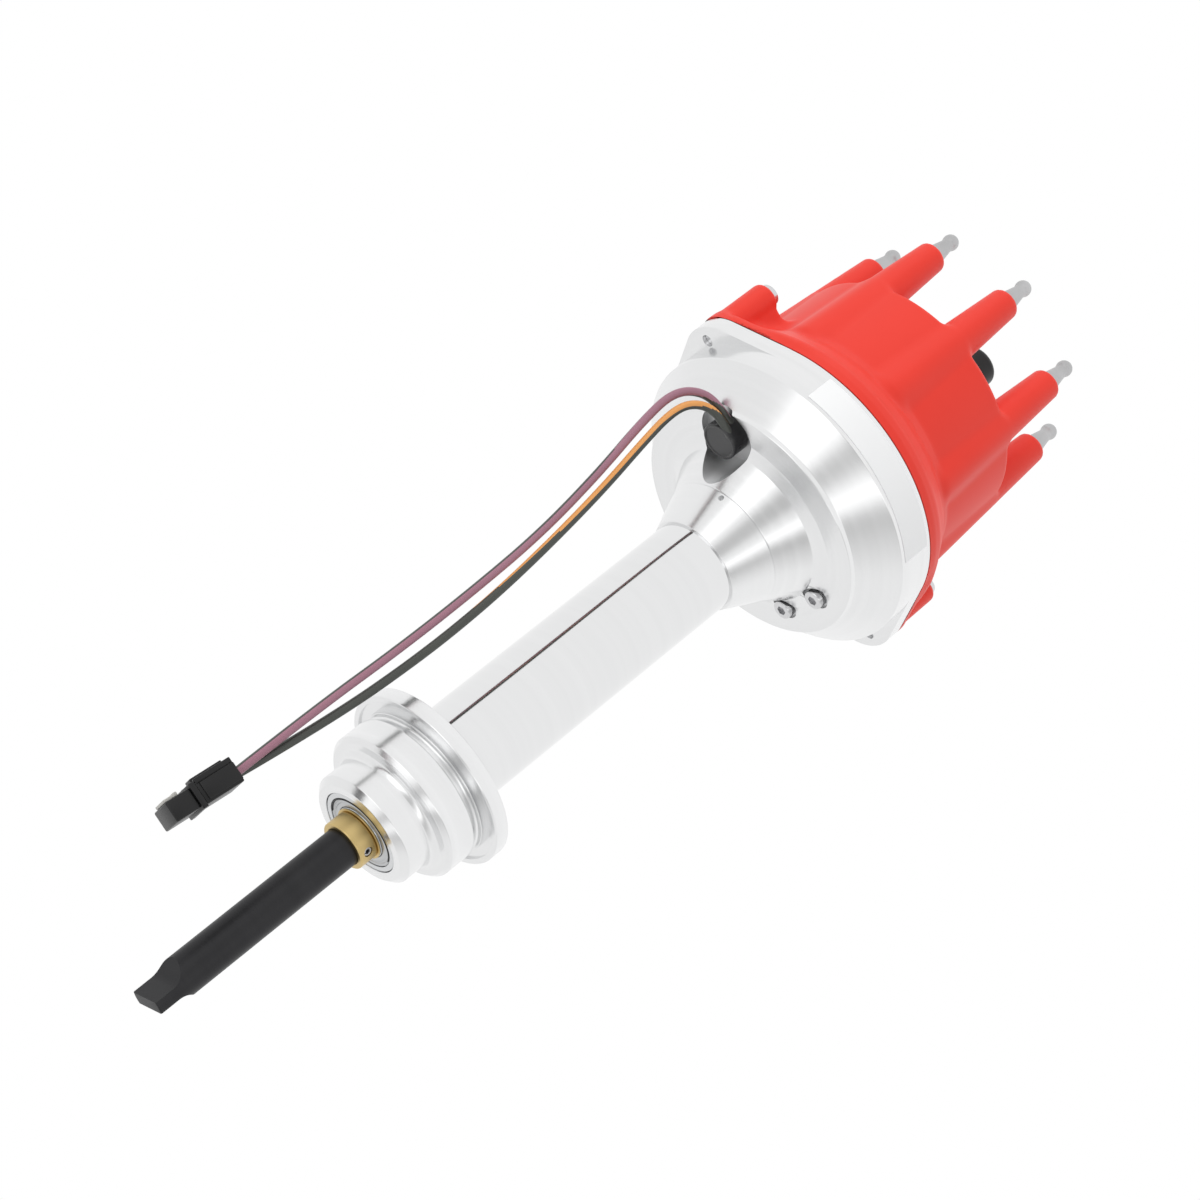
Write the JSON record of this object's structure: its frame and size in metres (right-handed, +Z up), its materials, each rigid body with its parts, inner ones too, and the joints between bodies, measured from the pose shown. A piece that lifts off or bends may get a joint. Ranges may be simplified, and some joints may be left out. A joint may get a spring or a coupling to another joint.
{
  "type": "ignition distributor",
  "caption": "Upright ignition distributor: turned housing with a pilot nose and flange, a shaft with a drive tang, a rotor and advance weights under a towered cap, and a pickup lead.",
  "frame": {"origin": "on the shaft's axis, in the plane of the flange's underside, which rests on the engine block", "axes": "+Z up the shaft towards the cap; the cap's two screws lie on the X axis"},
  "size_m": [0.1246, 0.1086, 0.3737],
  "materials": {
    "bearing_steel": "ground",
    "black_oxide": "black oxide",
    "black_plastic": "moulded",
    "black_rubber": "moulded",
    "bright_screw": "plated",
    "carbon": "pressed",
    "contact_brass": "stamped",
    "copper": "enamelled wire",
    "gold_zinc": "yellow zinc",
    "lock_plastic": "moulded",
    "machined_aluminium": "bright turned",
    "magnet": "ground",
    "orange_wire": "insulation with a dark stripe",
    "plain_steel": "plain",
    "pole_iron": "plain",
    "red_plastic": "moulded, satin",
    "shield_steel": "pressed",
    "spring_steel": "drawn",
    "terminal_metal": "satin",
    "violet_wire": "insulation with a dark stripe"
  },
  "bodies": {
    "housing": {"bowl_housing": "machined_aluminium", "brush_spring": "spring_steel", "cap_screw_left": "bright_screw", "cap_screw_right": "bright_screw", "cap_shell": "red_plastic", "coil_terminal": "terminal_metal", "coil_terminal_cover": "black_plastic", "column_housing": "machined_aluminium", "connector_lock": "lock_plastic", "connector_pins": "contact_brass", "connector_shell": "black_plastic", "lower_bearing_outer_race": "bearing_steel", "lower_bearing_shields": "shield_steel", "pickup_base": "black_plastic", "pickup_coil": "copper", "pickup_magnet": "magnet", "pickup_pole": "pole_iron", "pickup_screws": "bright_screw", "spark_terminal_1": "terminal_metal", "spark_terminal_2": "terminal_metal", "spark_terminal_3": "terminal_metal", "spark_terminal_4": "terminal_metal", "spark_terminal_5": "terminal_metal", "spark_terminal_6": "terminal_metal", "spark_terminal_7": "terminal_metal", "spark_terminal_8": "terminal_metal", "upper_bearing_outer_race": "bearing_steel", "upper_bearing_shields": "shield_steel", "wire_grommet": "black_rubber", "wire_orange": "orange_wire", "wire_violet": "violet_wire"},
    "shaft": {"drive_shaft": "black_oxide", "thrust_collar": "gold_zinc", "roll_pin": "plain_steel", "thrust_washer": "plain_steel", "lower_bearing_inner_race": "bearing_steel", "upper_bearing_inner_race": "bearing_steel", "upper_thrust_washer": "plain_steel", "advance_cam": "plain_steel", "cam_clip": "plain_steel"},
    "ball_sets": {"lower_bearing_balls": "bearing_steel", "upper_bearing_balls": "bearing_steel"},
    "rotor_carrier": {"advance_sleeve": "plain_steel", "reluctor": "plain_steel", "advance_weight_plate": "plain_steel", "weight_pivot_pins": "plain_steel", "rotor_body": "black_plastic", "rotor_blade": "contact_brass", "rotor_screws": "bright_screw", "advance_spring_1": "spring_steel", "advance_spring_2": "spring_steel"},
    "weight_1": {"advance_weight_1": "plain_steel"},
    "weight_2": {"advance_weight_2": "plain_steel"},
    "brush": {"carbon_brush": "carbon"}
  },
  "joints": [
    {"name": "shaft_spin", "type": "hinge", "parent": "housing", "child": "shaft", "pos_m": [0, 0, 0], "axis": [0, 0, 1], "continuous": true},
    {"name": "ball_sets_spin", "type": "hinge", "parent": "housing", "child": "ball_sets", "pos_m": [0, 0, 0], "axis": [0, 0, 1], "continuous": true},
    {"name": "spark_advance", "type": "hinge", "parent": "shaft", "child": "rotor_carrier", "pos_m": [0, 0, 0], "axis": [0, 0, -1], "range_deg": [0, 14], "stiffness_Nm_per_rad": 0.2, "deforming": ["advance_spring_1", "advance_spring_2"]},
    {"name": "weight_1_swing", "type": "hinge", "parent": "rotor_carrier", "child": "weight_1", "pos_m": [0.01289, 0.00521, 0.176], "axis": [0, 0, -1], "range_deg": [0, 20]},
    {"name": "weight_2_swing", "type": "hinge", "parent": "rotor_carrier", "child": "weight_2", "pos_m": [-0.01289, -0.00521, 0.176], "axis": [0, 0, -1], "range_deg": [0, 20]},
    {"name": "brush_travel", "type": "slide", "parent": "housing", "child": "brush", "axis": [0, 0, 1], "range_m": [0, 0.0015], "stiffness_N_per_m": 150, "springref_m": -0.002, "deforming": ["brush_spring"]}
  ],
  "couplings": [
    {"joint": "ball_sets_spin", "follows": "shaft_spin", "ratio": 0.4039},
    {"joint": "weight_1_swing", "follows": "spark_advance", "ratio": 1.4286},
    {"joint": "weight_2_swing", "follows": "spark_advance", "ratio": 1.4286}
  ]
}
